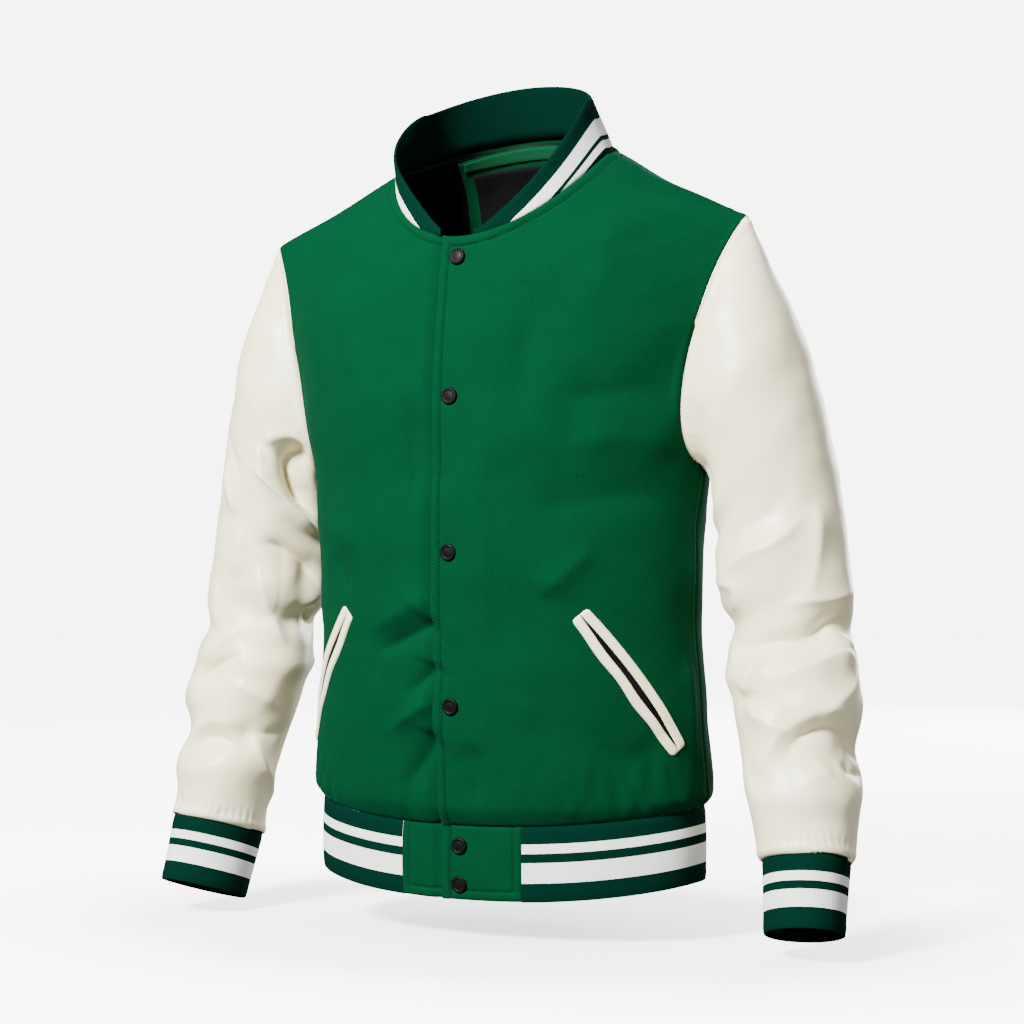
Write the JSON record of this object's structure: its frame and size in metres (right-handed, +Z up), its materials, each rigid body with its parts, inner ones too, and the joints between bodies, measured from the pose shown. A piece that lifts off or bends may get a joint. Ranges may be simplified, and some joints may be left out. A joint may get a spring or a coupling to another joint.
{
  "type": "varsity jacket",
  "caption": "Varsity jacket with a green wool body, cream leather sleeves, striped rib collar, cuffs and hem, slanted welt pockets and a snap front, open at neck, hem and cuffs",
  "frame": {"origin": "midway between the two neck points, where the collar seam meets the shoulder seams and the wearer's shoulders carry the jacket", "axes": "+X toward the wearer's left, -Y toward the front, +Z up"},
  "size_m": [0.7066, 0.2476, 0.7923],
  "materials": {
    "wool": "milled wool, soft short nap",
    "leather": "smooth cream leather, soft sheen",
    "rib": "knitted rib with white stripes",
    "lining": "smooth black lining cloth",
    "tape": "woven tape",
    "snap": "glossy black"
  },
  "bodies": {
    "root": {"back": "wool", "cuff_left": "rib", "cuff_right": "rib", "front_left": "wool", "front_right": "wool", "hem_tab_left": "wool", "hem_tab_right": "wool", "lining_back": "lining", "lining_left": "lining", "lining_right": "lining", "neck_facing": "wool", "neck_label": "lining", "neck_tape": "tape", "pocket_mouth_left": "lining", "pocket_mouth_right": "lining", "rib_collar": "rib", "rib_hem": "rib", "sleeve_left": "leather", "sleeve_right": "leather", "snap_1": "snap", "snap_2": "snap", "snap_3": "snap", "snap_4": "snap", "snap_5": "snap", "snap_6": "snap", "welt_lower_left": "leather", "welt_lower_right": "leather", "welt_upper_left": "leather", "welt_upper_right": "leather"}
  },
  "joints": []
}
